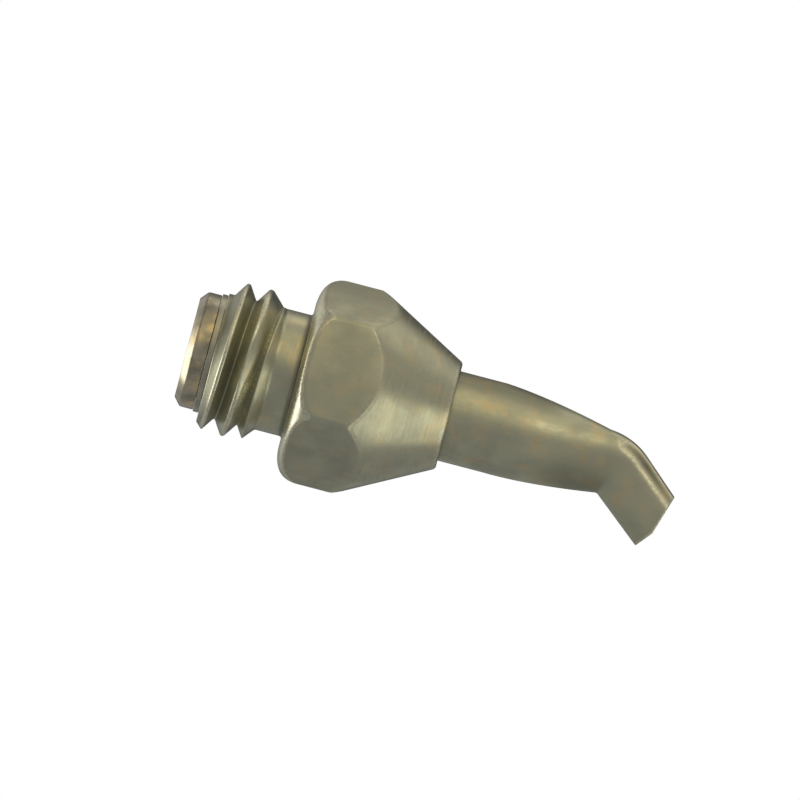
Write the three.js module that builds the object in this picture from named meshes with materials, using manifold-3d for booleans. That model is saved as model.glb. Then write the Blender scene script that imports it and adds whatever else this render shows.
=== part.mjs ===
// Oil burner nozzle: a bent spout tube, flattened at its mouth, that a hexagon gland nut clamps
// into a burner.
// Millimetres. The axis of the thread and the tube is X, with +X towards the spout, and the bend
// turns the tip down towards -Z. The origin is on that axis, at the rear face of the hexagon.
// Angles round the axis are measured from -Z, turning towards -Y.
import * as THREE from "three";
import { mergeVertices } from "three/addons/utils/BufferGeometryUtils.js";
import Module from "manifold-3d";

// Gland nut: M10 x 1.5 left-hand thread, plain neck, 12 mm hexagon and a cone.
const HEX_ACROSS_FLATS = 12;
const HEX_CORNER_R = HEX_ACROSS_FLATS / Math.sqrt(3);
const HEX_TURN = THREE.MathUtils.degToRad(9.3); // first corner, from -Z
const CHAMFER_START_R = 4.9; // flat rear face ends here
const CHAMFER_LENGTH = 1.8;
const CONE_START_X = 3.9;
const CONE_END_X = 10.2;
const CONE_END_R = 3.55;
const CONE_EDGE = 0.25;
const THREAD_END_X = -5.6;
const THREAD_MAJOR_R = 5;
const THREAD_ROOT_R = 4.06;
const THREAD_PITCH = 1.5;
const THREAD_CREST_X = -5.26; // a crest's place on the -Z side
const THREAD_FLAT = THREAD_PITCH / 8; // width of the crest
const THREAD_FROM = -0.3125; // turns from -Z
const THREAD_TO = 2.6;
const THREAD_FADE = 0.375; // turns over which the ridge rises and runs out
const THREAD_LEAD_IN_R = 4.5; // of the 45 degree lead-in at the nut's end
const THREAD_SETBACK = 0.04; // plain rim behind the lead-in
const RUN_OUT_X = -1.8; // where the thread's end has sloped down to the neck
const RUN_OUT_SLOPE = 1.2;
const GLAND_BORE_R = 3.06;

// Spout tube: 6 mm tube, drawn down, bent and pressed flatter towards its mouth.
const TUBE_R = 3;
const TUBE_WALL = 0.8;
const TUBE_REAR_X = -6.92;
const SEAT_BORE_R = 2.4; // wider bore that takes the jet and the strainer
const SEAT_SHOULDER_X = -0.6;
const TAPER_START_X = 13.3;
const TAPER_END_X = 20.6;
const TAPER_DROP = 0.3; // of the middle line, towards the bend
const TAPER_END_R = 2.11;
const TAPER_CURVE = 1.6; // power of the draw-down
const BEND_ANGLE = THREE.MathUtils.degToRad(40);
const BEND_INNER_R = 0.35;
const BEND_END_HALF_WIDTH = 2.02;
const BEND_LENGTH = BEND_ANGLE * (BEND_INNER_R + TAPER_END_R);
const BEND_END = TAPER_END_X + BEND_LENGTH; // length along the middle line
const PINCH_START = TAPER_END_X - 3.4;
const PINCH_END = BEND_END + 0.8;
const TIP_LENGTH = 4.1;
const TIP_HALF_WIDTH = 1.95;
const TIP_HALF_THICKNESS = 1.45;
const TIP_WALL = 0.55;
const TIP_SQUARENESS = 3.2; // exponent of the section's outline, 2 is an ellipse
const MOUTH_BEVEL = THREE.MathUtils.degToRad(23);
const MOUTH_SQUARE_WIDTH = 1.35; // of the cut, from the inner side of the bend

// Seat collar, slip washer and solder ring at the tube's rear end.
const COLLAR_R = 3.83;
const COLLAR_REAR_X = -7.36;
const COLLAR_FRONT_X = -6;
const COLLAR_CHAMFER = 0.42;
const COLLAR_LIP_R = 2.45;
const COLLAR_BORE_R = 3.05;
const SOLDER_GROOVE_R = 3.42;
const SOLDER_X = -6.45;
const SOLDER_WIDTH = 0.3;
const WASHER_R = 3.93;
const WASHER_THICKNESS = 0.3;

// Metering jet, its washer and the strainer in the tube's rear bore.
const JET_R = 2.34;
const JET_LENGTH = 2.2;
const JET_HOLE_R = 0.35;
const JET_MOUTH_R = 1;
const JET_SLOT = 0.6;
const JET_WASHER_THICKNESS = 0.28;
const JET_WASHER_HOLE_R = 1.3;
const FERRULE_LENGTH = 1;
const STRAINER_BORE_R = 0.95;
const STRAINER_STEM_R = 1.3;
const STRAINER_STEM_LENGTH = 2.25;
const STRAINER_WINDOW = 0.9;
const STRAINER_WINDOW_LENGTH = 1.5;
const GAUZE_WALL = 0.14;
const CAP_R = 1.68;
const CAP_LENGTH = 0.5;
const SEAT_GAP = 0.05; // between pieces that are pressed together

const ROUND = 48; // facets round a turned piece
const LEAD_IN_ROUND = 40; // out of step with the ridge's facets, so their cuts cross cleanly
const SPOUT_ROUND = 40;
const SMALL_ROUND = 32;

const wasm = await Module();
wasm.setup();

// A closed geometry as a solid that can be joined and cut.
function solidOf(geometry) {
  const bare = geometry.clone();
  bare.deleteAttribute("normal");
  bare.deleteAttribute("uv");
  const merged = mergeVertices(bare, 1e-4);
  return new wasm.Manifold(
    new wasm.Mesh({
      numProp: 3,
      vertProperties: merged.attributes.position.array,
      triVerts: Uint32Array.from(merged.index.array),
    }),
  );
}

function geometryOf(solid) {
  const mesh = solid.getMesh();
  const geometry = new THREE.BufferGeometry();
  geometry.setAttribute("position", new THREE.BufferAttribute(mesh.vertProperties, 3));
  geometry.setIndex(new THREE.BufferAttribute(mesh.triVerts, 1));
  return geometry;
}

// A profile of [x, radius] points turned about the X axis. A profile that isn't closed runs from
// the axis to the axis. Points go towards +X along the outside and back along the inside.
function turned(profile, facets = ROUND) {
  const points = profile.map(([x, r]) => new THREE.Vector2(r, x));
  return new THREE.LatheGeometry(points, facets).rotateZ(-Math.PI / 2);
}

// A plain ring between two places on the axis.
function ring(fromX, toX, innerR, outerR, facets = ROUND) {
  const corners = [[fromX, innerR], [fromX, outerR], [toX, outerR], [toX, innerR], [fromX, innerR]];
  return turned(corners, facets);
}

// A place at an angle round the axis, measured from -Z towards -Y.
function around(x, radius, angle) {
  return new THREE.Vector3(x, -radius * Math.sin(angle), -radius * Math.cos(angle));
}

// Moves each vertex of a geometry to the place that a function gives for it.
function reshaped(geometry, move) {
  const position = geometry.attributes.position;
  const vertex = new THREE.Vector3();
  for (let i = 0; i < position.count; i += 1) {
    vertex.fromBufferAttribute(position, i);
    position.setXYZ(i, ...move(vertex).toArray());
  }
  geometry.deleteAttribute("normal");
  return geometry;
}

// ---- Gland nut

// The thread's ridge: a straight bar of the 60 degree section, wound round the shank as a
// left-hand helix. It rises from the shank at one end and runs out at the other.
function threadRidge() {
  const height = THREAD_MAJOR_R - THREAD_ROOT_R;
  const sunk = 0.2;
  const flank = Math.tan(Math.PI / 6);
  const foot = THREAD_FLAT / 2 + (height + sunk) * flank;
  const section = new THREE.Shape();
  section.moveTo(-foot, -sunk);
  section.lineTo(foot, -sunk);
  section.lineTo(THREAD_FLAT / 2, height);
  section.lineTo(-THREAD_FLAT / 2, height);
  section.closePath();
  const turns = THREAD_TO - THREAD_FROM;
  const steps = Math.round(turns * ROUND);
  const bar = new THREE.ExtrudeGeometry(section, { depth: turns, steps, bevelEnabled: false });
  return reshaped(bar, ({ x, y, z }) => {
    const end = Math.min(z, turns - z) / THREAD_FADE;
    const rise = THREE.MathUtils.smoothstep(end, 0, 1);
    const turn = THREAD_FROM + z;
    const lift = y > 0 ? y * rise - (1 - rise) * sunk / 2 : y;
    const alongX = THREAD_CREST_X + turn * THREAD_PITCH - x;
    return around(alongX, THREAD_ROOT_R + lift, turn * 2 * Math.PI);
  });
}

// The outline that the hexagon bar is turned to: a rounded rear chamfer, and a cone in front.
function nutEnvelope() {
  const proud = HEX_CORNER_R + 0.2;
  const coneSlope = (CONE_END_R - HEX_CORNER_R) / (CONE_END_X - CONE_START_X);
  const outline = new THREE.Path();
  outline.moveTo(0, 0);
  outline.lineTo(0, CHAMFER_START_R);
  outline.quadraticCurveTo(CHAMFER_LENGTH / 15, HEX_CORNER_R - 0.2, CHAMFER_LENGTH, HEX_CORNER_R);
  outline.lineTo(CHAMFER_LENGTH + 0.5, proud);
  outline.lineTo(CONE_START_X + (proud - HEX_CORNER_R) / coneSlope, proud);
  outline.lineTo(CONE_END_X - CONE_EDGE, CONE_END_R - CONE_EDGE * coneSlope);
  outline.lineTo(CONE_END_X, CONE_END_R - CONE_EDGE);
  outline.lineTo(CONE_END_X, 0);
  const points = outline.getPoints(4).map((point) => point.toArray());
  return turned(points);
}

function glandNut() {
  const bar = new THREE.CylinderGeometry(HEX_CORNER_R, HEX_CORNER_R, CONE_END_X + 1, 6);
  bar.rotateZ(-Math.PI / 2);
  bar.translate(CONE_END_X / 2, 0, 0);
  bar.rotateX(-HEX_TURN);
  const head = solidOf(bar).intersect(solidOf(nutEnvelope()));
  const shank = solidOf(ring(THREAD_END_X, 1, 1, THREAD_ROOT_R));
  const proudR = THREAD_MAJOR_R + 0.2;
  const leadInX = THREAD_END_X + THREAD_SETBACK;
  const sunkX = RUN_OUT_X + 0.1 / RUN_OUT_SLOPE;
  const threadEnvelope = turned(
    [
      [leadInX, 0],
      [leadInX, THREAD_LEAD_IN_R],
      [leadInX + proudR - THREAD_LEAD_IN_R, proudR],
      [RUN_OUT_X - (proudR - THREAD_ROOT_R) / RUN_OUT_SLOPE, proudR],
      [sunkX, THREAD_ROOT_R - 0.1],
      [sunkX, 0],
    ],
    LEAD_IN_ROUND,
  );
  const ridge = solidOf(threadRidge()).intersect(solidOf(threadEnvelope));
  const bore = turned([
    [THREAD_END_X - 1, 0],
    [THREAD_END_X - 1, GLAND_BORE_R],
    [CONE_END_X + 1, GLAND_BORE_R],
    [CONE_END_X + 1, 0],
  ]);
  return geometryOf(head.add(shank).add(ridge).subtract(solidOf(bore)));
}

// ---- Spout tube

// The bend's centre, below the end of the taper, in the XZ plane.
const BEND_CENTRE = new THREE.Vector2(TAPER_END_X, -TAPER_DROP - TAPER_END_R - BEND_INNER_R);

// The spout's section at a length along its middle line: the place and slope of that line, and
// the section's half width in the plane of the bend, half thickness, wall and squareness.
function sectionAt(length) {
  const drawn = THREE.MathUtils.clamp(
    (length - TAPER_START_X) / (TAPER_END_X - TAPER_START_X), 0, 1,
  );
  const bent = THREE.MathUtils.clamp((length - TAPER_END_X) / BEND_LENGTH, 0, 1);
  const past = Math.max(0, length - BEND_END);
  const slope = bent * BEND_ANGLE;
  const pinched = THREE.MathUtils.smoothstep(length, PINCH_START, PINCH_END);
  const thinned = THREE.MathUtils.smoothstep(length, TAPER_START_X, PINCH_END);
  const round = TUBE_R + (TAPER_END_R - TUBE_R) * drawn ** TAPER_CURVE;
  const bendWidth = THREE.MathUtils.lerp(round, BEND_END_HALF_WIDTH, bent);
  const halfWidth = THREE.MathUtils.lerp(bendWidth, TIP_HALF_WIDTH, past / TIP_LENGTH);
  const place = new THREE.Vector2(Math.min(length, TAPER_END_X), -TAPER_DROP * drawn);
  if (bent > 0) {
    const reach = BEND_INNER_R + bendWidth;
    place.set(Math.sin(slope), Math.cos(slope)).multiplyScalar(reach).add(BEND_CENTRE);
    place.add(new THREE.Vector2(Math.cos(slope), -Math.sin(slope)).multiplyScalar(past));
  }
  return {
    place,
    slope,
    halfWidth,
    halfThickness: THREE.MathUtils.lerp(TUBE_R, TIP_HALF_THICKNESS, thinned),
    wallScale: THREE.MathUtils.lerp(1, TIP_WALL / TUBE_WALL, Math.max(drawn * 0.5, pinched)),
    power: 2 / THREE.MathUtils.lerp(2, TIP_SQUARENESS, pinched),
  };
}

// Moves a vertex of the straight tube to its place on the drawn, bent and pinched one.
function formed({ x, y, z }) {
  const { place, slope, halfWidth, halfThickness, wallScale, power } = sectionAt(x);
  const radius = Math.hypot(y, z);
  const inset = (TUBE_R - radius) * wallScale;
  const across = Math.sign(z) * Math.abs(z / radius) ** power * (halfWidth - inset);
  const sideways = Math.sign(y) * Math.abs(y / radius) ** power * (halfThickness - inset);
  return new THREE.Vector3(
    place.x + across * Math.sin(slope),
    sideways,
    place.y + across * Math.cos(slope),
  );
}

// The two cuts across the tip: square on the inner side of the bend, bevelled back beyond it.
function mouthCuts() {
  const size = 8;
  const end = sectionAt(BEND_END + TIP_LENGTH);
  const along = new THREE.Vector3(Math.cos(end.slope), 0, -Math.sin(end.slope));
  const across = new THREE.Vector3(Math.sin(end.slope), 0, Math.cos(end.slope));
  const corner = new THREE.Vector3(end.place.x, 0, end.place.y);
  corner.addScaledVector(across, MOUTH_SQUARE_WIDTH - end.halfWidth);
  return [0, MOUTH_BEVEL].map((bevel) => {
    const cut = new THREE.BoxGeometry(size, size, size);
    cut.translate(size / 2, 0, 0);
    cut.rotateY(end.slope - bevel);
    const nudge = bevel > 0 ? 0 : 0.001;
    const place = corner.clone().addScaledVector(along, nudge);
    return solidOf(cut.translate(...place.toArray()));
  });
}

function spoutTube() {
  const tubeEnd = BEND_END + TIP_LENGTH + 0.3; // the mouth's cuts take the rest off
  const evenly = (from, to, count) =>
    Array.from({ length: count }, (_, i) => THREE.MathUtils.lerp(from, to, i / count));
  const formedLengths = [
    ...evenly(TAPER_START_X, PINCH_START, 4),
    ...evenly(PINCH_START, TAPER_END_X, 5),
    ...evenly(TAPER_END_X, BEND_END, 7),
    ...evenly(BEND_END, PINCH_END, 3),
    ...evenly(PINCH_END, tubeEnd, 3),
    tubeEnd,
  ];
  const innerR = TUBE_R - TUBE_WALL;
  const profile = [
    [TUBE_REAR_X, TUBE_R],
    ...formedLengths.map((length) => [length, TUBE_R]),
    ...formedLengths.map((length) => [length, innerR]).reverse(),
    [SEAT_SHOULDER_X, innerR],
    [SEAT_SHOULDER_X, SEAT_BORE_R],
    [TUBE_REAR_X, SEAT_BORE_R],
    [TUBE_REAR_X, TUBE_R],
  ];
  const tube = solidOf(reshaped(turned(profile, SPOUT_ROUND), formed));
  return geometryOf(mouthCuts().reduce((body, cut) => body.subtract(cut), tube));
}

// ---- Rear end of the spout

// The collar soldered on the tube: its rear face is the nozzle's metal seat, its lip covers the
// end of the tube, and the gland nut pushes on its front face through the slip washer.
function seatCollar() {
  const lipX = TUBE_REAR_X - SEAT_GAP;
  const groove = SOLDER_WIDTH / 2 + SEAT_GAP;
  return turned([
    [COLLAR_REAR_X, COLLAR_LIP_R],
    [COLLAR_REAR_X, COLLAR_R - COLLAR_CHAMFER],
    [COLLAR_REAR_X + COLLAR_CHAMFER, COLLAR_R],
    [COLLAR_FRONT_X, COLLAR_R],
    [COLLAR_FRONT_X, COLLAR_BORE_R],
    [SOLDER_X + groove, COLLAR_BORE_R],
    [SOLDER_X + groove, SOLDER_GROOVE_R],
    [SOLDER_X - groove, SOLDER_GROOVE_R],
    [SOLDER_X - groove, COLLAR_BORE_R],
    [lipX, COLLAR_BORE_R],
    [lipX, COLLAR_LIP_R],
    [COLLAR_REAR_X, COLLAR_LIP_R],
  ]);
}

function solderRing() {
  const half = SOLDER_WIDTH / 2;
  return ring(SOLDER_X - half, SOLDER_X + half, TUBE_R + 0.03, SOLDER_GROOVE_R - 0.03);
}

function slipWasher() {
  const rearX = COLLAR_FRONT_X + SEAT_GAP;
  return ring(rearX, rearX + WASHER_THICKNESS, GLAND_BORE_R, WASHER_R);
}

// ---- Metering jet and strainer

const JET_WASHER_X = SEAT_SHOULDER_X - SEAT_GAP - JET_WASHER_THICKNESS;
const JET_FRONT_X = JET_WASHER_X - SEAT_GAP;
const JET_REAR_X = JET_FRONT_X - JET_LENGTH;
const FERRULE_FRONT_X = JET_REAR_X - SEAT_GAP;
const FERRULE_REAR_X = FERRULE_FRONT_X - FERRULE_LENGTH;
const STEM_REAR_X = FERRULE_REAR_X - STRAINER_STEM_LENGTH;

function jetWasher() {
  return ring(JET_WASHER_X, JET_WASHER_X + JET_WASHER_THICKNESS, JET_WASHER_HOLE_R, JET_R, SMALL_ROUND);
}

// A plug with a fine hole that widens into the outlet, and a screwdriver slot across its rear.
function meteringJet() {
  const throatX = JET_FRONT_X - 0.9;
  const plug = turned(
    [
      [JET_REAR_X, JET_HOLE_R],
      [JET_REAR_X, JET_R],
      [JET_FRONT_X, JET_R],
      [JET_FRONT_X, JET_MOUTH_R],
      [throatX, JET_HOLE_R],
      [JET_REAR_X, JET_HOLE_R],
    ],
    SMALL_ROUND,
  );
  const slot = new THREE.BoxGeometry(JET_SLOT * 2, JET_SLOT, JET_R * 3);
  slot.translate(JET_REAR_X, 0, 0);
  return geometryOf(solidOf(plug).subtract(solidOf(slot)));
}

// The strainer's turned frame: a ferrule that fits the bore, and a windowed stem with a blind end.
function strainerFrame() {
  const body = turned(
    [
      [STEM_REAR_X, 0],
      [STEM_REAR_X, STRAINER_STEM_R],
      [FERRULE_REAR_X, STRAINER_STEM_R],
      [FERRULE_REAR_X, JET_R],
      [FERRULE_FRONT_X, JET_R],
      [FERRULE_FRONT_X, STRAINER_BORE_R],
      [STEM_REAR_X + 0.35, STRAINER_BORE_R],
      [STEM_REAR_X + 0.35, 0],
    ],
    SMALL_ROUND,
  );
  const windowX = STEM_REAR_X + 0.35 + STRAINER_WINDOW_LENGTH / 2;
  const windows = [0, Math.PI / 2].map((turn) => {
    const size = [STRAINER_WINDOW_LENGTH, STRAINER_WINDOW, STRAINER_STEM_R * 3];
    return solidOf(new THREE.BoxGeometry(...size).rotateX(turn).translate(windowX, 0, 0));
  });
  return geometryOf(windows.reduce((frame, window) => frame.subtract(window), solidOf(body)));
}

function strainerGauze() {
  const innerR = STRAINER_STEM_R + 0.02;
  return ring(STEM_REAR_X, FERRULE_REAR_X - SEAT_GAP, innerR, innerR + GAUZE_WALL, SMALL_ROUND);
}

// The cap crimped over the gauze's rear end.
function strainerCap() {
  const skirtR = STRAINER_STEM_R + GAUZE_WALL + 0.05;
  const closedX = STEM_REAR_X - SEAT_GAP;
  return turned(
    [
      [closedX - 0.2, 0],
      [closedX - 0.2, CAP_R - 0.15],
      [closedX - 0.05, CAP_R],
      [closedX + CAP_LENGTH, CAP_R],
      [closedX + CAP_LENGTH, skirtR],
      [closedX, skirtR],
      [closedX, 0],
    ],
    SMALL_ROUND,
  );
}

// ---- The assembly

const nickelPlate = { color: 0x9a937a, roughness: 0.36, metalness: 1 };
const turnedBrass = { color: 0xb09a5a, roughness: 0.32, metalness: 1 };

function piece(name, geometry, finish) {
  const mesh = new THREE.Mesh(geometry, new THREE.MeshStandardMaterial(finish));
  mesh.name = name;
  return mesh;
}

const nozzle = new THREE.Group();
nozzle.add(piece("gland_nut", glandNut(), nickelPlate));

// What slides and swivels in the gland nut.
const spout = new THREE.Group();
spout.add(
  piece("slip_washer", slipWasher(), { color: 0xb9ab86, roughness: 0.4, metalness: 1 }),
  piece("spout_tube", spoutTube(), nickelPlate),
  piece("seat_collar", seatCollar(), { ...nickelPlate, roughness: 0.24 }),
  piece("solder_ring", solderRing(), { color: 0xc9c6b8, roughness: 0.45, metalness: 1 }),
  piece("jet_washer", jetWasher(), { color: 0xb06a45, roughness: 0.4, metalness: 1 }),
  piece("metering_jet", meteringJet(), turnedBrass),
  piece("strainer_frame", strainerFrame(), turnedBrass),
  piece("strainer_gauze", strainerGauze(), { color: 0x9c8a5e, roughness: 0.55, metalness: 1 }),
  piece("strainer_cap", strainerCap(), turnedBrass),
);
nozzle.add(spout);

export default nozzle;
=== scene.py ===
# The looks of the oil burner nozzle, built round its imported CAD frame.
# Sizes are in millimetres until a mesh is made; Blender's own unit is the metre.
import math

import bmesh
import bpy
import numpy as np
from mathutils import Matrix, Vector


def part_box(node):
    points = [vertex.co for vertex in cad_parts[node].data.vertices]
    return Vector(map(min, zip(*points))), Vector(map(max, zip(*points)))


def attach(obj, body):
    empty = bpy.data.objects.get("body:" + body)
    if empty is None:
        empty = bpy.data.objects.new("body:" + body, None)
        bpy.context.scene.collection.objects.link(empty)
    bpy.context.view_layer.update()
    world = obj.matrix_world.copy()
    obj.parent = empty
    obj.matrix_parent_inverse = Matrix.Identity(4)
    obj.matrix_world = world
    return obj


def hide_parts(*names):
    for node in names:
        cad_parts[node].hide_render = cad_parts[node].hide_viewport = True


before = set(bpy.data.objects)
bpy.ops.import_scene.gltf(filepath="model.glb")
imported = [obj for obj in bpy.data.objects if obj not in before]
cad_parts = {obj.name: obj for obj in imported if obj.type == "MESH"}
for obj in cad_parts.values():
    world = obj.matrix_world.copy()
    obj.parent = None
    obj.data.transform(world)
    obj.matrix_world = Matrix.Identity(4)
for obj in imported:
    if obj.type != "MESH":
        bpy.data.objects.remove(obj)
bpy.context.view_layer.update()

MM = 0.001
TAU = 2 * math.pi


def extent(node):
    """A CAD node's lowest and highest corners, in millimetres."""
    low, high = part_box(node)
    return low / MM, high / MM


nut_low, nut_high = extent("gland_nut")
collar_low, collar_high = extent("seat_collar")
washer_low, washer_high = extent("slip_washer")
tube_low, tube_high = extent("spout_tube")
solder_low, solder_high = extent("solder_ring")
jet_low, jet_high = extent("metering_jet")
jet_washer_low, jet_washer_high = extent("jet_washer")
strainer_low, strainer_high = extent("strainer_frame")
gauze_low, gauze_high = extent("strainer_gauze")
cap_low, cap_high = extent("strainer_cap")

# Gland nut: M10 x 1.5 left-hand thread, plain neck, 12 mm hexagon and a cone
HEX_ACROSS_FLATS = 12.0
HEX_CORNER_R = HEX_ACROSS_FLATS / math.sqrt(3)
HEX_TURN = math.radians(9.3)  # first corner, from -Z
HEX_EDGE = 0.45  # radius of the corners
HEX_CROWN = 0.18  # rise of each flat's middle
CHAMFER_START_R = 4.9  # flat rear face ends here
CHAMFER_LENGTH = 1.8
CONE_START_X = 3.9
CONE_END_X = nut_high.x
CONE_END_R = 3.55
THREAD_END_X = nut_low.x
THREAD_STOP_X = -1.3  # past the run-out, where the neck is plain
THREAD_MAJOR_R = 5.0
THREAD_ROOT_R = 4.06
THREAD_PITCH = 1.5
THREAD_CREST_X = -5.26  # a crest's place on the -Z side
THREAD_FROM = -0.3125  # turns from -Z
THREAD_TO = 2.6
THREAD_FADE = 0.375  # turns over which the ridge rises and runs out
THREAD_LEAD_IN_R = 4.5  # of the 45 degree lead-in at the nut's end
THREAD_SLOPE = 1.55  # of the flanks
RUN_OUT_X = -1.8  # where the thread's end has sloped down to the neck
RUN_OUT_SLOPE = 1.2
GLAND_BORE_R = 3.06
BORE_EDGE = 0.18  # chamfer at both ends of the bore

# Spout tube: 6 mm tube, drawn down, bent and pressed flatter towards its mouth
TUBE_R = tube_high.y
TUBE_WALL = 0.8
TUBE_REAR_X = tube_low.x
TUBE_REAR_EDGE = 0.15
SEAT_BORE_R = 2.4  # wider bore that takes the jet and the strainer
SEAT_SHOULDER_X = -0.6
TAPER_START_X = 13.3
TAPER_END_X = 20.6
TAPER_DROP = 0.3  # of the middle line, towards the bend
TAPER_END_R = 2.11
TAPER_CURVE = 1.6  # power of the draw-down
BEND_ANGLE = math.radians(40)
BEND_INNER_R = 0.35
BEND_END_HALF_WIDTH = 2.02
BEND_LENGTH = BEND_ANGLE * (BEND_INNER_R + TAPER_END_R)
BEND_END = TAPER_END_X + BEND_LENGTH  # length along the middle line
PINCH_START = TAPER_END_X - 3.4
PINCH_END = BEND_END + 0.8
TIP_LENGTH = 4.1
TIP_HALF_WIDTH = 1.95
TIP_HALF_THICKNESS = 1.45
TIP_WALL = 0.55
TIP_SQUARENESS = 3.2  # exponent of the section's outline, 2 is an ellipse
CREASE_WIDTH = 1.05  # from the middle line to the crease
CREASE_SLOPE = math.radians(36)  # of the face beyond the crease
CREASE_RELIEF = 1.2  # lift that keeps that face clear of the round tube
MOUTH_BEVEL = math.radians(23)
MOUTH_SQUARE_WIDTH = 1.35  # of the cut, from the inner side of the bend

# Pieces at the rear end
COLLAR_CHAMFER = 0.42
COLLAR_LIP_R = 2.45
COLLAR_BORE_R = 3.05
SLIP_WASHER_BORE_R = 3.06
SOLDER_BORE_R = 3.03
JET_WASHER_BORE_R = 1.3
JET_HOLE_R = 0.35
SEAT_GAP = 0.05  # between pieces that are pressed together
FINE_PITCH = 0.5  # of the jet's and strainer's threads
FINE_DEPTH = 0.2
FINE_COLUMNS = 96

SMOOTH_ANGLE = math.radians(38)  # sharper edges than this stay sharp


# ---- Mesh making

def rounded(corners, radius, steps=4, closed=True):
    """An outline's corners, each turned into a small arc. A corner may carry a radius of its own."""
    points = [np.array(c[:2], float) for c in corners]
    made = []
    for i, point in enumerate(points):
        own = corners[i][2] if len(corners[i]) > 2 else radius
        if not closed and i in (0, len(points) - 1):
            made.append(point)
            continue
        back = points[i - 1] - point
        ahead = points[(i + 1) % len(points)] - point
        made.extend(arc_in_corner(point, back, ahead, own, steps))
    return np.array(made)


def arc_in_corner(corner, back, ahead, radius, steps):
    """Points of the arc that rounds a corner between two directions."""
    back_length, ahead_length = np.linalg.norm(back), np.linalg.norm(ahead)
    back, ahead = back / back_length, ahead / ahead_length
    half = math.acos(float(np.clip(back @ ahead, -1, 1))) / 2
    cut = min(radius / math.tan(half), 0.45 * back_length, 0.45 * ahead_length)
    start, end = corner + back * cut, corner + ahead * cut
    weights = np.linspace(0, 1, steps + 1)[:, None]
    return start * (1 - weights) ** 2 + corner * 2 * weights * (1 - weights) + end * weights**2


def around(x, radius, angle):
    """Places round the axis, with the angle measured from -Z towards -Y."""
    x, radius, angle = np.broadcast_arrays(x, radius, angle)
    return np.stack([x, -radius * np.sin(angle), -radius * np.cos(angle)], axis=-1)


def turned(outline, columns=128):
    """A grid of points: an outline of [x, radius] turned about the X axis."""
    angles = np.arange(columns) * TAU / columns
    return around(outline[:, None, 0], outline[:, None, 1], angles[None, :])


def grid_faces(stations, columns, closed):
    """Quads between neighbouring stations, all the way round each one."""
    rows = np.arange(stations if closed else stations - 1)
    cells = np.arange(columns)
    row, cell = np.meshgrid(rows, cells, indexing="ij")
    next_row, next_cell = (row + 1) % stations, (cell + 1) % columns
    quads = [row * columns + cell, row * columns + next_cell]
    quads += [next_row * columns + next_cell, next_row * columns + cell]
    return np.stack(quads, axis=-1).reshape(-1, 4)


def grid_piece(name, points, body, slot, stands_for, materials, **options):
    """A piece from a grid of points, closed along its stations unless it ends on the axis."""
    stations, columns = points.shape[:2]
    closed = options.get("closed", True)
    faces = grid_faces(stations, columns, closed)
    flat = points.reshape(-1, 3)
    mesh = bpy.data.meshes.new(name)
    mesh.from_pydata((flat * MM).tolist(), [], faces.tolist())
    # Per-point shares of wear with painted highlight, and of painted shade
    for key in ("wear", "grime"):
        if key in options:
            layer = mesh.attributes.new(key, "FLOAT", "POINT")
            layer.data.foreach_set("value", options[key].reshape(-1).astype(np.float32))
    if "surface" in options:
        rows = stations if closed else stations - 1
        surface = options["surface"][:rows].astype(np.int32)
        mesh.polygons.foreach_set("material_index", surface.ravel())
    return finished(name, mesh, body, stands_for, materials)


def finished(name, mesh, body, stands_for, materials):
    """Welds and shades a mesh, and makes it a piece that rides on its body."""
    work = bmesh.new()
    work.from_mesh(mesh)
    bmesh.ops.remove_doubles(work, verts=work.verts, dist=1e-7)
    bmesh.ops.dissolve_degenerate(work, edges=work.edges, dist=1e-7)
    if work.calc_volume(signed=True) < 0:
        bmesh.ops.reverse_faces(work, faces=work.faces)
    work.to_mesh(mesh)
    work.free()
    mesh.shade_smooth()
    mesh.set_sharp_from_angle(angle=SMOOTH_ANGLE)
    for material in materials:
        mesh.materials.append(material)
    piece = bpy.data.objects.new(name, mesh)
    bpy.context.scene.collection.objects.link(piece)
    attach(piece, body)
    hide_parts(stands_for)
    return piece


def smoothstep(value, low=0.0, high=1.0):
    """A value's place between two limits, from 0 to 1, with both ends eased."""
    share = np.clip((value - low) / (high - low), 0, 1)
    return share * share * (3 - 2 * share)


def soft_min(a, b, width):
    """The smaller of two values, with their meeting rounded over a width."""
    share = np.clip(0.5 + 0.5 * (b - a) / width, 0, 1)
    return b * (1 - share) + a * share - width * share * (1 - share)


def soft_max(a, b, width):
    """The larger of two values, with their meeting rounded over a width."""
    return -soft_min(-a, -b, width)


# ---- Materials

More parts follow.
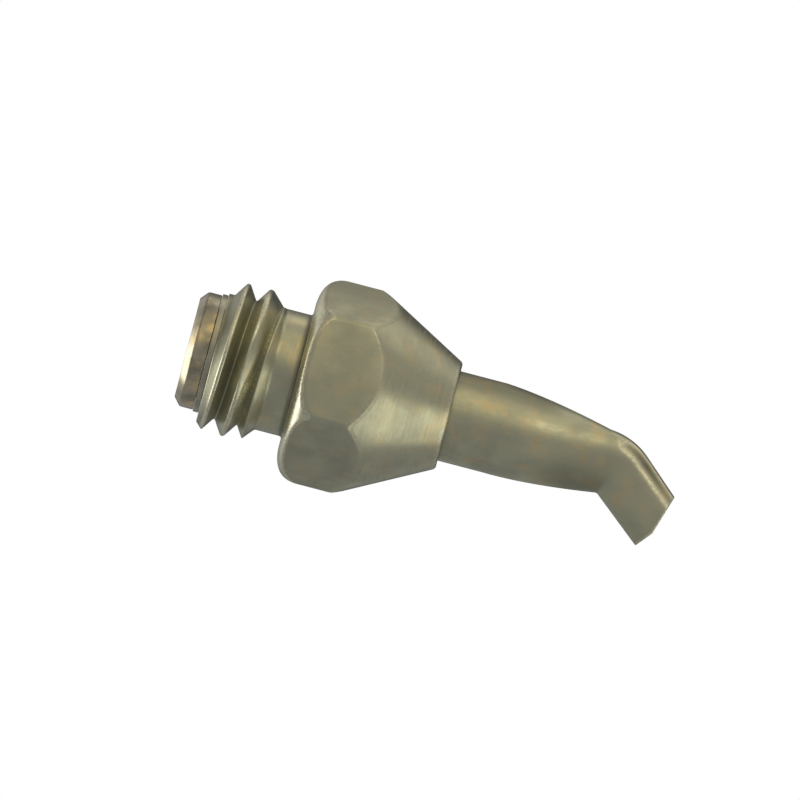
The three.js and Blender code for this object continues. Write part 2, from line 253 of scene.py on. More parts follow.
class Graph:
    """Adds nodes to a tree. An input given as a socket is linked, and any other is set."""

    def __init__(self, tree):
        self.tree = tree
        tree.nodes.clear()

    def add(self, kind, settings=None, **inputs):
        node = self.tree.nodes.new("ShaderNode" + kind)
        for key, value in (settings or {}).items():
            setattr(node, key, value)
        for key, value in inputs.items():
            target = node.inputs[int(key[2:])] if key.startswith("in") and key[2:].isdigit() else None
            target = target or node.inputs[key.replace("_", " ")]
            if isinstance(value, bpy.types.NodeSocket):
                self.tree.links.new(value, target)
            else:
                target.default_value = value
        return node

    def maths(self, operation, a, b=0.0):
        return self.add("Math", {"operation": operation}, in0=a, in1=b).outputs[0]

    def ramp(self, value, low, high, to_low=0.0, to_high=1.0):
        """A value between two limits, mapped smoothly to two others."""
        inputs = {"in0": value, "in1": low, "in2": high, "in3": to_low, "in4": to_high}
        return self.add("MapRange", {"interpolation_type": "SMOOTHSTEP"}, **inputs).outputs[0]

    def mix(self, share, a, b):
        node = self.add("Mix", {"data_type": "RGBA"})
        for target, value in ((node.inputs[0], share), (node.inputs[6], a), (node.inputs[7], b)):
            if isinstance(value, bpy.types.NodeSocket):
                self.tree.links.new(value, target)
            else:
                target.default_value = value
        return node.outputs[2]

    def noise(self, vector, scale, detail=3.0, roughness=0.55):
        inputs = {"Vector": vector, "Scale": scale, "Detail": detail, "Roughness": roughness}
        return self.add("TexNoise", None, **inputs).outputs[0]


def place_in_mm(graph):
    """A point's own coordinates on its object, in millimetres."""
    place = graph.add("TexCoord").outputs["Object"]
    return graph.add("VectorMath", {"operation": "SCALE"}, Vector=place, Scale=1 / MM).outputs[0]


def turning_grain(graph, place):
    """Coordinates that run quickly across a turned surface and slowly round it."""
    parts = graph.add("SeparateXYZ", None, Vector=place)
    across = graph.add("CombineXYZ", None, Y=parts.outputs[1], Z=parts.outputs[2]).outputs[0]
    radius = graph.add("VectorMath", {"operation": "LENGTH"}, Vector=across).outputs["Value"]
    slow = graph.add("VectorMath", {"operation": "SCALE"}, Vector=across, Scale=0.05).outputs[0]
    slow_parts = graph.add("SeparateXYZ", None, Vector=slow)
    fast = graph.maths("ADD", parts.outputs[0], graph.maths("MULTIPLY", radius, 0.83))
    return graph.add(
        "CombineXYZ", None, X=fast, Y=slow_parts.outputs[1], Z=slow_parts.outputs[2]
    ).outputs[0]


def drawing_grain(graph, place):
    """Coordinates that run quickly round a drawn bar or tube and slowly along it."""
    return graph.add("VectorMath", {"operation": "MULTIPLY"}, in0=place, in1=(0.06, 1, 1)).outputs[0]


def metal(
    name, tint, shadow, roughness, grain, line_depth=1.2, line_scale=9.0, wear_and_highlight_colour=None, brassy=0.0
):
    """Satin metal: tool marks along its grain, cloudy patches, fine pits, worn edges and painted
    highlights, painted shade in corners and hollows, and patches where brass shows through its
    plating. Depths are in thousandths of a millimetre."""
    material = bpy.data.materials.new(name)
    material.use_nodes = True
    graph = Graph(material.node_tree)
    place = place_in_mm(graph)
    lines = graph.noise(grain(graph, place), line_scale, 4.0, 0.7)
    clouds = graph.noise(place, 0.55, 3.0)
    specks = graph.noise(place, 5.5, 4.0, 0.65)
    colour = graph.mix(graph.ramp(clouds, 0.3, 0.72), (*shadow, 1), (*tint, 1))
    if brassy:
        moved = graph.add("VectorMath", {"operation": "ADD"}, in0=place, in1=(7, 3, 5)).outputs[0]
        thin = graph.ramp(graph.noise(moved, 0.85, 3.0, 0.6), 0.5, 0.66, 0.0, brassy)
        colour = graph.mix(thin, colour, (*bare_brass, 1))
    spots = graph.ramp(specks, 0.62, 0.74, 0.0, 0.35)
    colour = graph.mix(spots, colour, tuple(0.55 * c for c in shadow) + (1,))
    rough = graph.ramp(clouds, 0.3, 0.75, roughness * 1.25, roughness * 0.8)
    if wear_and_highlight_colour:
        # Lighter colour at worn edges, and painted highlights on edges that should catch the light
        wear = graph.add("Attribute", {"attribute_name": "wear"}).outputs["Fac"]
        patchy = graph.maths("MULTIPLY", wear, graph.ramp(specks, 0.3, 0.6))
        colour = graph.mix(patchy, colour, (*wear_and_highlight_colour, 1))
        # Painted shade: darker colour in hollows, in corners and on faces that should lie in shade
        grime = graph.add("Attribute", {"attribute_name": "grime"}).outputs["Fac"]
        shade_share = graph.maths("MULTIPLY", grime, graph.ramp(clouds, 0.2, 0.6, 0.6, 1.0))
        colour = graph.mix(shade_share, colour, (*painted_shade_colour, 1))
        rough = graph.maths("ADD", rough, graph.maths("MULTIPLY", shade_share, 0.15))
    rough = graph.maths("ADD", rough, graph.ramp(lines, 0.3, 0.7, -0.05, 0.07))
    rough = graph.maths("ADD", rough, graph.maths("MULTIPLY", spots, 0.4))
    dents = graph.ramp(specks, 0.3, 0.5)
    bump = graph.add("Bump", None, Height=lines, Strength=1.0, Distance=line_depth * 1e-6)
    bump = graph.add(
        "Bump", None, Height=dents, Strength=1.0, Distance=1e-6, Normal=bump.outputs[0]
    )
    inputs = {"Base_Color": colour, "Metallic": 1.0, "Roughness": rough, "Normal": bump.outputs[0]}
    shader = graph.add("BsdfPrincipled", None, **inputs)
    graph.add("OutputMaterial", None, Surface=shader.outputs[0])
    return material


nickel = (0.50, 0.49, 0.355)
dull_nickel = (0.42, 0.42, 0.32)
# Colour of worn edges and of painted highlights
bright_edge = (0.71, 0.67, 0.52)
bare_brass = (0.60, 0.47, 0.27)
# Colour of the painted shade
painted_shade_colour = (0.075, 0.075, 0.055)

nickel_turned = metal(
    "nickel_turned", nickel, dull_nickel, 0.28, turning_grain, wear_and_highlight_colour=bright_edge, brassy=0.4
)
nickel_flat = metal(
    "nickel_flat", (0.455, 0.45, 0.34), (0.40, 0.40, 0.31), 0.38, drawing_grain,
    line_depth=0.9, line_scale=6.0, wear_and_highlight_colour=bright_edge, brassy=0.25,
)
nickel_tube = metal(
    "nickel_tube", nickel, dull_nickel, 0.33, drawing_grain,
    line_depth=1.0, line_scale=5.0, wear_and_highlight_colour=bright_edge, brassy=0.5,
)
nickel_seat = metal(
    "nickel_seat", (0.54, 0.48, 0.35), (0.27, 0.25, 0.20), 0.18, turning_grain,
    line_depth=0.8, line_scale=7.0, brassy=0.9,
)
nickel_silver = metal("nickel_silver", (0.46, 0.43, 0.34), (0.36, 0.34, 0.27), 0.28, turning_grain)
brass = metal("brass", (0.72, 0.56, 0.28), (0.58, 0.43, 0.2), 0.28, turning_grain)
copper = metal("copper", (0.72, 0.42, 0.28), (0.55, 0.3, 0.19), 0.34, turning_grain)
bronze_wire = metal("bronze_wire", (0.56, 0.43, 0.22), (0.42, 0.31, 0.16), 0.34, drawing_grain)
silver_solder = metal("silver_solder", (0.7, 0.68, 0.6), (0.55, 0.53, 0.46), 0.42, turning_grain)


# ---- Gland nut

def hexagon_radius(angle):
    """The hexagon's outline with its corners rounded, as a distance from the axis."""
    off_flat = np.abs((angle - HEX_TURN) % (TAU / 6) - TAU / 12)
    flat = HEX_ACROSS_FLATS / 2 + HEX_CROWN * np.cos(off_flat * 3)
    off_corner = TAU / 12 - off_flat
    arc_centre = (flat - HEX_EDGE) / math.cos(TAU / 12)
    meets = math.atan2(arc_centre * math.sin(TAU / 12), flat)
    inside = np.maximum(HEX_EDGE**2 - (arc_centre * np.sin(off_corner)) ** 2, 0)
    arc = arc_centre * np.cos(off_corner) + np.sqrt(inside)
    return np.where(off_flat > meets, arc, flat / np.cos(off_flat))


def nut_angles():
    """Columns round the nut, closer together at the hexagon's corners."""
    near = np.radians([0, 0.25, 0.5, 0.75, 1.0, 1.3, 1.8, 2.6, 3.8])
    far = np.radians(np.arange(5.2, 30, 1.3))
    half = np.concatenate([near, far])
    flat = np.concatenate([half, [TAU / 12], TAU / 6 - half[:0:-1]])
    return np.concatenate([HEX_TURN + k * TAU / 6 + flat for k in range(6)])


def thread_radius(x, angle):
    """The left-hand thread's surface, which rises over part of a turn and slopes down to the
    neck, more gently on the near side, and how near each point is to a crest."""
    height = THREAD_MAJOR_R - THREAD_ROOT_R
    surface = np.full(np.broadcast(x, angle).shape, -1.0)
    for lap in range(-1, 4):
        turn = angle / TAU + lap
        ahead = x - THREAD_CREST_X - turn * THREAD_PITCH
        leaning = 1 - 0.35 * smoothstep(turn, 0.9, 1.3)
        away = np.where(ahead > 0, ahead * leaning, -ahead)
        rise = smoothstep(np.minimum(turn - THREAD_FROM, THREAD_TO - turn) / THREAD_FADE)
        section = soft_min(height - (away - THREAD_PITCH / 16) * THREAD_SLOPE, height, 0.1)
        surface = np.maximum(surface, section * rise - (1 - rise) * 0.1)
    near_side = np.maximum(np.sin(angle), 0)
    run_out = (RUN_OUT_X + 0.25 * near_side - x) * (RUN_OUT_SLOPE - 0.75 * near_side)
    surface = soft_min(surface, run_out, 0.12)
    radius = THREAD_ROOT_R + soft_max(surface, 0.0, 0.1)
    crest = smoothstep(radius, THREAD_MAJOR_R - 0.12, THREAD_MAJOR_R - 0.02)
    return soft_min(radius, THREAD_LEAD_IN_R + x - THREAD_END_X, 0.08), crest


def chamfer_curve():
    """The rear chamfer's profile as rows of [x, radius], carried on past the corners."""
    t = np.linspace(0, 1, 200)[:, None]
    start, end = np.array([0, CHAMFER_START_R]), np.array([CHAMFER_LENGTH, HEX_CORNER_R])
    control = np.array([CHAMFER_LENGTH / 15, HEX_CORNER_R - 0.2])
    curve = start * (1 - t) ** 2 + control * 2 * t * (1 - t) + end * t**2
    return np.concatenate([curve, [end + (end - control)]])


def head_outline(limit):
    """The rear face's edge, chamfer, flat and cone at one angle, where limit is the hexagon's
    radius. Each station is [x, radius, wear and painted highlight, on a flat], and the turned
    chamfer carries a painted highlight."""
    curve = chamfer_curve()
    meets_x = float(np.interp(limit, curve[:, 1], curve[:, 0]))
    rear_end_x = meets_x + 0.48
    rear_x = np.linspace(0, 1, 19) ** 1.15 * rear_end_x
    corner_share = (limit - HEX_ACROSS_FLATS / 2) / (HEX_CORNER_R - HEX_ACROSS_FLATS / 2)
    softness = 0.5 - 0.44 * min(max(corner_share, 0), 1)
    rear_r = soft_min(np.interp(rear_x, curve[:, 0], curve[:, 1]), limit, softness)
    rear = np.column_stack([rear_x, rear_r])
    slope = (CONE_END_R - HEX_CORNER_R) / (CONE_END_X - CONE_START_X)
    flat_end = np.array([CONE_START_X + (limit - HEX_CORNER_R) / slope, limit])
    cone_end = np.array([CONE_END_X, CONE_END_R])
    front = np.array([CONE_END_X, GLAND_BORE_R])
    front_arc = arc_in_corner(flat_end, rear[-1] - flat_end, cone_end - flat_end, 0.5, 4)
    edge_arc = arc_in_corner(cone_end, flat_end - cone_end, front - cone_end, 0.34, 6)
    flat = np.linspace(rear[-1], front_arc[0], 8)[1:-1]
    cone = np.linspace(front_arc[-1], edge_arc[0], 26)[1:-1]
    on_flat = rear_x > meets_x + 0.05
    # The turned chamfer's 0.8 is a painted highlight; the edge arcs' shares are wear
    stretches = [(rear, 0.8 * ~on_flat, on_flat), (flat, 0.0, True), (front_arc, 0.2, True)]
    stretches += [(cone, 0.0, False), (edge_arc, 0.6, False)]
    rows = []
    for points, *marks in stretches:
        rows.append(np.column_stack([points] + [np.zeros(len(points)) + mark for mark in marks]))
    return np.concatenate(rows)


def nut_grime(thread_x, thread, angle, neck):
    """Painted shade between the thread's turns, on the near side of its first flank and in the
    neck's corner.
    """
    root = 1 - smoothstep(thread, THREAD_ROOT_R + 0.05, THREAD_MAJOR_R - 0.25)
    root *= 0.3 - 0.25 * smoothstep(thread_x, -3.6, -3.0)
    turn = (angle / TAU + 0.25) % 1 - 0.25
    behind_crest = thread_x - THREAD_CREST_X - turn * THREAD_PITCH
    first_flank = 0.3 * (1 + math.sin(angle)) * (1 - smoothstep(behind_crest, -0.2, -0.08))
    corner = 0.7 * smoothstep(neck[:, 0], -0.4, -0.1)
    return np.concatenate([np.maximum(root, first_flank), corner])


def gland_nut():
    """The nut's surface, one column of stations at a time: the thread, neck, hexagon and cone,
    then back through the bore."""
    angles = nut_angles()
    thread_start_x = THREAD_END_X + 0.03
    thread_x = np.linspace(thread_start_x, THREAD_STOP_X, 136)
    neck_corner = [(THREAD_STOP_X, THREAD_ROOT_R), (0, THREAD_ROOT_R, 0.18), (0, CHAMFER_START_R)]
    neck = rounded(neck_corner, 0.18, 6, closed=False)[1:-1]
    neck = np.concatenate([np.linspace((THREAD_STOP_X, THREAD_ROOT_R), neck[0], 8)[1:-1], neck])
    front = [(CONE_END_X, GLAND_BORE_R + BORE_EDGE), (CONE_END_X - BORE_EDGE, GLAND_BORE_R)]
    columns = []
    for angle in angles:
        thread, crest = thread_radius(thread_x, angle)
        rear = [(THREAD_END_X + BORE_EDGE, GLAND_BORE_R), (THREAD_END_X, GLAND_BORE_R + BORE_EDGE)]
        rear += [(THREAD_END_X, thread[0] - 0.03)]
        threaded_part = np.column_stack([thread_x, thread])
        head = head_outline(float(hexagon_radius(angle)))
        plain = np.zeros(len(head))
        places = np.concatenate([rear, threaded_part, neck, head[:, :2], front])
        # Wear on the crests and edges with the chamfer's painted highlight, and painted shade in the
        # thread, the neck's corner and both ends of the bore
        wear = np.concatenate([[0, 0, 0.4], crest, np.zeros(len(neck)), head[:, 2], [0, 0]])
        thread_shade = nut_grime(thread_x, thread, angle, neck)
        grime = np.concatenate([[0.5, 0.3, 0], thread_shade, plain, [0.4, 0.6]])
        flat = np.zeros(len(places))
        flat[-2 - len(head) : -2] = head[:, 3]
        columns.append(np.column_stack([places, wear, grime, flat]))
    grid = np.stack(columns, axis=1)
    points = around(grid[..., 0], grid[..., 1], angles[None, :])
    return grid_piece(
        "nut_gland", points, "gland", "nickel_plated_brass", "gland_nut",
        [nickel_turned, nickel_flat], wear=grid[..., 2], grime=grid[..., 3], surface=grid[..., 4],
    )


# ---- Spout tube

def spout_sections(length):
    """The middle line and section of the drawn, bent and pinched tube at lengths along it."""
    drawn = np.clip((length - TAPER_START_X) / (TAPER_END_X - TAPER_START_X), 0, 1)
    bent = np.clip((length - TAPER_END_X) / BEND_LENGTH, 0, 1)
    past = np.maximum(0, length - BEND_END)
    slope = bent * BEND_ANGLE
    pinched = smoothstep(length, PINCH_START, PINCH_END)
    thinned = smoothstep(length, TAPER_START_X, PINCH_END)
    round_r = TUBE_R + (TAPER_END_R - TUBE_R) * drawn**TAPER_CURVE
    bend_width = round_r + (BEND_END_HALF_WIDTH - round_r) * bent
    half_width = bend_width + (TIP_HALF_WIDTH - bend_width) * past / TIP_LENGTH
    reach = BEND_INNER_R + bend_width
    centre_z = -TAPER_DROP - TAPER_END_R - BEND_INNER_R
    x = np.where(bent > 0, TAPER_END_X + reach * np.sin(slope) + past * np.cos(slope), length)
    z = np.where(
        bent > 0, centre_z + reach * np.cos(slope) - past * np.sin(slope), -TAPER_DROP * drawn
    )
    return {
        "x": x,
        "z": z,
        "slope": slope,
        "half_width": half_width,
        "half_thickness": TUBE_R + (TIP_HALF_THICKNESS - TUBE_R) * thinned,
        "wall": 1 + (TIP_WALL / TUBE_WALL - 1) * np.maximum(drawn * 0.5, pinched),
        "power": 2 / (2 + (TIP_SQUARENESS - 2) * pinched),
    }


def formed(length, radius, angles):
    """Points of the straight tube's surface, moved to the formed spout, and how far each one is
    past the crease. The mouth is cut square on the inner side of the bend and bevelled beyond."""
    tip = smoothstep(length, BEND_END, BEND_END + 0.5)[:, None]
    made = spout_sections(length)
    column = {key: value[:, None] for key, value in made.items()}
    inset = ((TUBE_R - radius)[:, None]) * column["wall"]
    up, side = -np.cos(angles)[None, :], -np.sin(angles)[None, :]
    across = np.sign(up) * np.abs(up) ** column["power"] * (column["half_width"] - inset)
    sideways = np.sign(side) * np.abs(side) ** column["power"] * (column["half_thickness"] - inset)
    beyond = across - CREASE_WIDTH
    relief = 1 - smoothstep(length, TAPER_END_X - 1.6, TAPER_END_X + 0.9)
    roof = column["half_thickness"] - inset - beyond * math.tan(CREASE_SLOPE)
    roof += CREASE_RELIEF * relief[:, None]
    past_crease = np.abs(sideways) - roof
    sideways = np.sign(sideways) * soft_min(np.abs(sideways), np.maximum(roof, 0.05), 0.1)
    bevel_from = MOUTH_SQUARE_WIDTH - TIP_HALF_WIDTH
    cut = np.maximum(0, across - bevel_from) * math.tan(MOUTH_BEVEL)
    share = np.clip((length[:, None] - BEND_END) / TIP_LENGTH, 0, 1)
    back = cut * share * tip
    x = column["x"] + across * np.sin(column["slope"]) - back * np.cos(column["slope"])
    z = column["z"] + across * np.cos(column["slope"]) + back * np.sin(column["slope"])
    return np.stack([x, sideways, z], axis=-1), past_crease


def tube_outline():
    """The tube before it is formed, as rows of [length, radius]: outside to the mouth, over its
    lip, and back through the bore. Also the number of rows on the outside."""
    mouth = BEND_END + TIP_LENGTH
    inner_r = TUBE_R - TUBE_WALL
    along = [np.linspace(TUBE_REAR_X + TUBE_REAR_EDGE, TAPER_START_X, 24)[:-1]]
    along += [np.linspace(TAPER_START_X, PINCH_START, 26)[:-1]]
    along += [np.linspace(PINCH_START, PINCH_END, 84)[:-1]]
    along += [np.linspace(PINCH_END, mouth - 0.1, 40)]
    outer = np.concatenate(along)
    backwards, outwards = np.array([-1.0, 0]), np.array([0, 1.0])
    lip = arc_in_corner(np.array([mouth, TUBE_R]), backwards, -outwards, 0.1, 4)
    inner_lip = arc_in_corner(np.array([mouth, inner_r]), outwards, backwards, 0.08, 4)
    inner = outer[outer > SEAT_SHOULDER_X + 0.4][::-1]
    rear = [(SEAT_SHOULDER_X, inner_r), (SEAT_SHOULDER_X, SEAT_BORE_R)]
    rear += [(TUBE_REAR_X + TUBE_REAR_EDGE, SEAT_BORE_R)]
    rear += [(TUBE_REAR_X, SEAT_BORE_R + TUBE_REAR_EDGE), (TUBE_REAR_X, TUBE_R - TUBE_REAR_EDGE)]
    rows = [np.column_stack([outer, np.full(len(outer), TUBE_R)]), lip[1:], inner_lip]
    rows += [np.column_stack([inner, np.full(len(inner), inner_r)]), np.array(rear)]
    return np.concatenate(rows), len(outer)


def tube_grime(length, angles, past_crease):
    """Painted shade on the face beyond the crease, under the tube before its bend, and along the
    top of its straight part."""
    crease_side = 0.9 * smoothstep(past_crease, 0.05, 0.16)
    near_bend = smoothstep(length, 15.5, 19) * (1 - smoothstep(length, 20.8, 22.2))
    lower = smoothstep(np.cos(angles), -0.35, 0.45)
    straight = 1 - smoothstep(length, 15.5, 18.5)
    upper = smoothstep(-np.cos(angles), 0.55, 0.9)
    grime = np.maximum(crease_side, 0.4 * near_bend[:, None] * lower[None, :])
    return np.maximum(grime, 0.55 * straight[:, None] * upper[None, :])


def spout_tube():
    columns = 144
    angles = (np.arange(columns) + 0.5) * TAU / columns
    outline, first_lip = tube_outline()
    points, past_crease = formed(outline[:, 0], outline[:, 1], angles)
    outside = (outline[:, 1] == TUBE_R)[:, None]
    # Painted shade on the outside, a painted highlight along the crease, and wear on the mouth's lip
    grime = tube_grime(outline[:, 0], angles, past_crease) * outside
    wear = np.exp(-((past_crease / 0.07) ** 2)) * outside
    wear[first_lip - 1 : first_lip + 3] = 0.8
    return grid_piece(
        "spout", points, "spout", "nickel_plated_tube", "spout_tube", [nickel_tube],
        wear=wear, grime=grime,
    )


# ---- Turned pieces at the rear end

def seat_collar():
    rear, front = collar_low.x, collar_high.x
    outer = collar_high.y
    lip_x = TUBE_REAR_X - SEAT_GAP
    groove = [solder_low.x - SEAT_GAP, solder_high.x + SEAT_GAP]
    groove_r = solder_high.y + 0.03
    corners = [
        (rear, COLLAR_LIP_R, 0.06),
        (rear, outer - COLLAR_CHAMFER - 0.12, 0.12),
        (rear + COLLAR_CHAMFER + 0.04, outer, 0.3),
        (front, outer, 0.08),
        (front, COLLAR_BORE_R, 0.03),
        (groove[1], COLLAR_BORE_R, 0.02),
        (groove[1], groove_r, 0.02),
        (groove[0], groove_r, 0.02),
        (groove[0], COLLAR_BORE_R, 0.02),
        (lip_x, COLLAR_BORE_R, 0.02),
        (lip_x, COLLAR_LIP_R, 0.03),
    ]
    outline = rounded(corners, 0.05, 5)
    return grid_piece(
        "collar", turned(outline, 160), "spout", "polished_seat", "seat_collar", [nickel_seat]
    )


def plain_ring(name, low, high, inner_r, edge, body, slot, node, material, spread=0.0):
    """A flat ring with rounded edges, in a CAD ring's place. Spread moves both of its faces
    outwards, nearly as far as what it lies against."""
    outer = high.y
    rear, front = low.x - spread, high.x + spread
    corners = [(rear, inner_r), (rear, outer), (front, outer), (front, inner_r)]
    outline = rounded(corners, edge, 5)
    return grid_piece(name, turned(outline), body, slot, node, [material])


def threaded(rear, front, radius):
    """A grid of stations of a fine right-hand thread between two ends, with broken edges."""
    stations = np.linspace(rear, front, round((front - rear) / FINE_PITCH * 16) + 1)[:, None]
    angles = (np.arange(FINE_COLUMNS) * TAU / FINE_COLUMNS)[None, :]
    phase = (stations / FINE_PITCH + angles / TAU) % 1
    ridge = radius - FINE_DEPTH * smoothstep(np.abs(phase - 0.5) * 2, 0.15, 0.85)
    ends = radius - 0.22 + np.minimum(stations - rear, front - stations)
    return around(stations, soft_min(ridge, ends, 0.04), angles)


def box_mesh(low, high):
    """A plain box that is used up in cutting, between two corners."""
    work = bmesh.new()
    bmesh.ops.create_cube(work, size=1)
    size, middle = Vector(high) - Vector(low), (Vector(high) + Vector(low)) / 2
    bmesh.ops.scale(work, verts=work.verts, vec=size * MM)
    bmesh.ops.translate(work, verts=work.verts, vec=middle * MM)
    mesh = bpy.data.meshes.new("cutter")
    work.to_mesh(mesh)
    work.free()
    return mesh


def cut_away(piece, boxes):
    """Takes boxes out of a piece, for its slots and windows."""
    cutters = []
    for low, high in boxes:
        cutter = bpy.data.objects.new("cutter", box_mesh(low, high))
        bpy.context.scene.collection.objects.link(cutter)
        modifier = piece.modifiers.new("cut", "BOOLEAN")
        modifier.operation = "DIFFERENCE"
        modifier.solver = "EXACT"
        modifier.object = cutter
        cutters.append(cutter)
    bpy.context.view_layer.update()
    shaped = piece.evaluated_get(bpy.context.evaluated_depsgraph_get())
    mesh = bpy.data.meshes.new_from_object(shaped)
    piece.modifiers.clear()
    piece.data = mesh
    mesh.shade_smooth()
    mesh.set_sharp_from_angle(angle=SMOOTH_ANGLE)
    for cutter in cutters:
        bpy.data.objects.remove(cutter)
    return piece


def metering_jet():
    """A threaded plug with a small hole, a funnel in front and a screwdriver slot behind."""
    rear, front = jet_low.x, jet_high.x
    throat = front - 0.9
    funnel = [(front, 1.9), (front, 1.0, 0.06), (throat, JET_HOLE_R, 0.1), (rear, JET_HOLE_R)]
    mouth = rounded(funnel, 0.05, 4, closed=False)
    hole = [(rear + 0.05, JET_HOLE_R), (rear, 0.4)]
    inside = turned(np.concatenate([mouth[:-1], hole]), FINE_COLUMNS)
    grid = np.concatenate([threaded(rear, front, jet_high.y), inside])
    piece = grid_piece("jet", grid, "spout", "turned_brass", "metering_jet", [brass])
    slot = ((rear - 1, -0.3, -4), (rear + 0.6, 0.3, 4))
    return cut_away(piece, [slot])


def strainer_frame():
    """A threaded ferrule with a hollow stem behind it, which has four windows."""
    rear, front = strainer_low.x, strainer_high.x
    stem_r, bore_r, step_r = 1.3, 0.95, 2
    window_length, window_half_width = 1.5, 0.45
    ferrule, floor_x = front - 1, rear + 0.35
    stem = [(rear, 0), (rear, stem_r, 0.06), (ferrule, stem_r, 0.08), (ferrule, step_r)]
    bore = [(front, step_r), (front, bore_r, 0.1), (floor_x, bore_r, 0.1), (floor_x, 0)]
    stem, bore = [
        turned(rounded(outline, 0.05, 4, closed=False), FINE_COLUMNS) for outline in (stem, bore)
    ]
    grid = np.concatenate([stem, threaded(ferrule, front, strainer_high.y), bore])
    piece = grid_piece(
        "strainer_stem", grid, "spout", "turned_brass", "strainer_frame", [brass], closed=False
    )
    near, far = floor_x, floor_x + window_length
    upright = ((near, -window_half_width, -4), (far, window_half_width, 4))
    level = ((near, -4, -window_half_width), (far, 4, window_half_width))
    return cut_away(piece, [upright, level])


def strainer_cap():
    rear, front = cap_low.x, cap_high.x
    outer, bore_r, wall = cap_high.y, 1.49, 0.2
    corners = [(rear, 0), (rear, outer, 0.2), (front, outer, 0.05)]
    corners += [(front, bore_r, 0.03), (rear + wall, bore_r, 0.05), (rear + wall, 0)]
    outline = rounded(corners, 0.04, 5, closed=False)
    return grid_piece(
        "strainer_end", turned(outline, FINE_COLUMNS), "spout", "turned_brass", "strainer_cap",
        [brass], closed=False,
    )


def strainer_gauze():
    """Woven wire round the strainer: hoops and lengthwise wires that pass over and under."""
    rear, front = gauze_low.x, gauze_high.x
    middle = gauze_high.y - 0.07
    wire, wave = 0.032, 0.032
    hoops, rods, sides = 15, 48, 6
    hoop_x = np.linspace(rear + wire, front - wire, hoops)
    spin = np.arange(sides) * TAU / sides
    vertices, faces = [], []

    def add_wire(path, radial, closed):
        start = sum(len(v) for v in vertices)
        ahead = np.gradient(path, axis=0)
        if closed:
            ahead = np.roll(path, -1, axis=0) - np.roll(path, 1, axis=0)
        ahead /= np.linalg.norm(ahead, axis=1)[:, None]
        side = np.cross(ahead, radial)
        outwards = radial[:, None] * np.cos(spin)[None, :, None]
        rings = path[:, None] + wire * (outwards + side[:, None] * np.sin(spin)[None, :, None])
        vertices.append(rings.reshape(-1, 3))
        faces.extend((grid_faces(len(path), sides, closed) + start).tolist())
        if not closed:
            last = start + (len(path) - 1) * sides
            faces.append([start + k for k in range(sides)][::-1])
            faces.append([last + k for k in range(sides)])

    for number, x in enumerate(hoop_x):
        angles = np.arange(rods * 4) * TAU / (rods * 4)
        lift = wave * np.cos(angles * rods / 2 + number * math.pi)
        path = around(x, middle + lift, angles)
        add_wire(path, around(0, 1, angles), True)
    lengths = np.linspace(rear, front, hoops * 4)
    step = (hoop_x[-1] - hoop_x[0]) / (hoops - 1)
    for number in range(rods):
        angle = number * TAU / rods
        weave = np.cos((lengths - hoop_x[0]) / step * math.pi + number * math.pi)
        path = around(lengths, middle - wave * weave, angle)
        add_wire(path, np.repeat(around(0, 1, angle)[None], len(path), axis=0), False)
    mesh = bpy.data.meshes.new("gauze")
    mesh.from_pydata((np.concatenate(vertices) * MM).tolist(), [], faces)
    return finished("gauze", mesh, "spout", "strainer_gauze", [bronze_wire])


gland_nut()
spout_tube()
seat_collar()
metering_jet()
strainer_frame()
strainer_cap()
strainer_gauze()
plain_ring(
    "slip_ring", washer_low, washer_high, SLIP_WASHER_BORE_R, 0.05, "slip",
    "washer_nickel_silver", "slip_washer", nickel_silver, spread=0.042,
)
plain_ring(
    "solder_fill", solder_low, solder_high, SOLDER_BORE_R, 0.08, "spout", "silver_solder",
    "solder_ring", silver_solder,
)
plain_ring(
    "jet_seal", jet_washer_low, jet_washer_high, JET_WASHER_BORE_R, 0.05, "spout",
    "copper_washer", "jet_washer", copper,
)


# ---- Floor, light and camera

def floor():
    """A pale round table top just under the nozzle's lowest point."""
    radius, columns = 600.0, 96
    top = nut_low.z - 0.05
    angles = np.arange(columns) * TAU / columns
    ring = np.stack([radius * np.cos(angles), radius * np.sin(angles), np.full(columns, top)], -1)
    mesh = bpy.data.meshes.new("floor")
    mesh.from_pydata((ring * MM).tolist(), [], [list(range(columns))])
    material = bpy.data.materials.new("pale_floor")
    material.use_nodes = True
    graph = Graph(material.node_tree)
    place = place_in_mm(graph)
    mottle = graph.ramp(graph.noise(place, 0.05, 4.0), 0.3, 0.7)
    colour = graph.mix(mottle, (0.75, 0.76, 0.80, 1), (0.77, 0.78, 0.82, 1))
    shader = graph.add("BsdfPrincipled", None, Base_Color=colour, Roughness=0.7)
    graph.add("OutputMaterial", None, Surface=shader.outputs[0])
    mesh.materials.append(material)
    obj = bpy.data.objects.new("floor", mesh)
    bpy.context.scene.collection.objects.link(obj)
    obj.visible_glossy = False


def toward(x, y, z):
    """A direction as a vector of length one."""
    return tuple(Vector((x, y, z)).normalized())


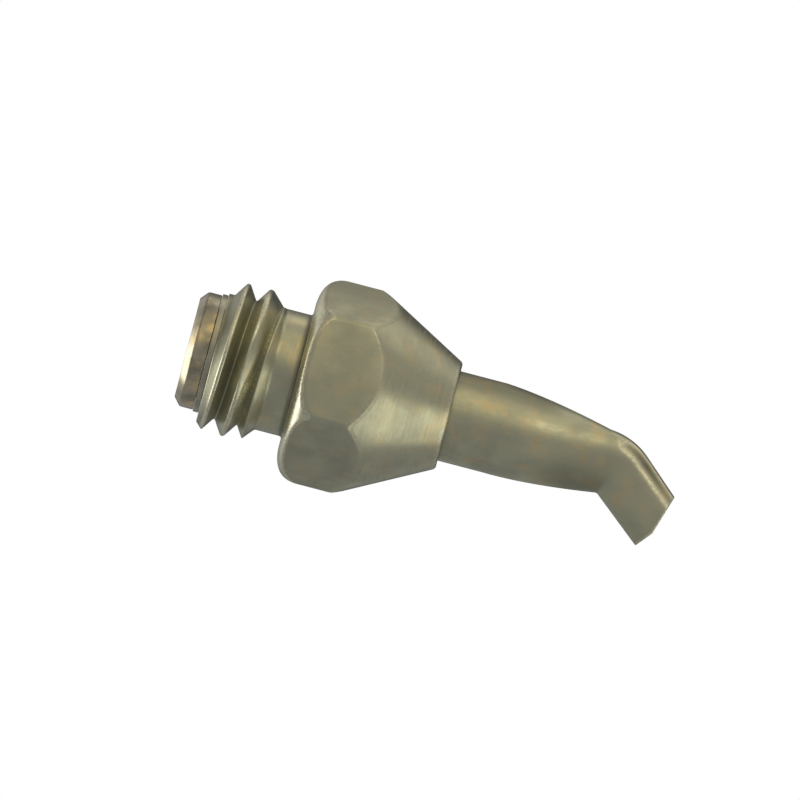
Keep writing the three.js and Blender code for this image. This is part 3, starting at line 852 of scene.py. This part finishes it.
def studio_world():
    """White behind the object, and round it a dim room with broad soft lights in it."""
    world = bpy.data.worlds.new("studio")
    world.use_nodes = True
    bpy.context.scene.world = world
    graph = Graph(world.node_tree)
    direction = graph.add("TexCoord").outputs["Generated"]
    height = graph.add("SeparateXYZ", None, Vector=direction).outputs[2]

    def lobe(aim, inner, outer):
        """A soft round spot on the sky, between an inner and an outer angle in degrees."""
        inputs = {"in0": direction, "in1": toward(*aim)}
        dot = graph.add("VectorMath", {"operation": "DOT_PRODUCT"}, **inputs).outputs["Value"]
        return graph.ramp(dot, math.cos(math.radians(outer)), math.cos(math.radians(inner)))

    room = graph.mix(graph.ramp(height, -0.25, 0.15), (0.36, 0.365, 0.36, 1), (0.41, 0.40, 0.37, 1))
    behind = graph.maths("MULTIPLY", lobe((0.4, 0.92, 0), 12, 54), graph.ramp(height, -0.5, -0.1))
    total = graph.mix(behind, room, (0.09, 0.095, 0.095, 1))
    # where each light is seen from the object, its inner and outer angle, and its colour
    lights = [
        ((0, -0.62, 0.78), 5, 43, (0.46, 0.39, 0.20)),
        ((0.42, 0.2, 0.88), 10, 35, (0.34, 0.32, 0.26)),
        ((-0.05, 0.50, 0.86), 5, 19, (0.42, 0.39, 0.30)),
        ((0.5, -0.6, 0.62), 4, 15, (0.95, 0.9, 0.72)),
        ((-0.80, 0.58, 0.1), 10, 44, (0.34, 0.35, 0.34)),
        ((-0.94, 0.20, -0.26), 7, 23, (2.7, 2.65, 2.45)),
        ((-0.97, 0.22, 0.06), 5, 19, (1.0, 0.99, 0.93)),
    ]
    low_right = graph.maths(
        "MULTIPLY", lobe((0.87, -0.40, -0.28), 16, 35), graph.ramp(height, 0.0, 0.14, 1.0, 0.0)
    )
    glows = [(low_right, (0.80, 0.77, 0.60))]
    glows += [(lobe(aim, inner, outer), colour) for aim, inner, outer, colour in lights]
    for share, colour in glows:
        glow = graph.mix(share, (0, 0, 0, 1), (*colour, 1))
        total = graph.add("VectorMath", {"operation": "ADD"}, in0=total, in1=glow).outputs[0]
    seen = graph.add("LightPath").outputs["Is Camera Ray"]
    shown = graph.mix(seen, total, (1, 1, 1, 1))
    background = graph.add("Background", None, Color=shown, Strength=1.0)
    graph.add("OutputWorld", None, Surface=background.outputs[0])


def overhead_light():
    """A broad panel above, which lights only the floor."""
    data = bpy.data.lights.new("overhead", "AREA")
    data.shape = "DISK"
    data.size = 0.9
    data.energy = 9.0
    obj = bpy.data.objects.new("overhead", data)
    place = Vector((-0.15, -0.2, 0.9))
    obj.location = place
    obj.rotation_euler = (-place).to_track_quat("-Z", "Y").to_euler()
    obj.visible_glossy = False
    bpy.context.scene.collection.objects.link(obj)


def camera():
    """Looks square to the axis, rolled so that the axis falls to the right."""
    roll = math.radians(14.7)
    frame_width, distance = 51.9, 0.2
    aim = Vector((6.85, 0.0, 0.19)) * MM
    right = Vector((math.cos(roll), 0, math.sin(roll)))
    up = Vector((-math.sin(roll), 0, math.cos(roll)))
    back = Vector((0, -1, 0))
    data = bpy.data.cameras.new("camera")
    data.type = "ORTHO"
    data.ortho_scale = frame_width * MM
    data.clip_start, data.clip_end = 0.001, 10
    obj = bpy.data.objects.new("camera", data)
    bpy.context.scene.collection.objects.link(obj)
    turn = Matrix((right, up, back)).transposed().to_4x4()
    obj.matrix_world = Matrix.Translation(aim + back * distance) @ turn
    bpy.context.scene.camera = obj


floor()
studio_world()
overhead_light()
camera()
bpy.context.scene.view_settings.view_transform = "Standard"
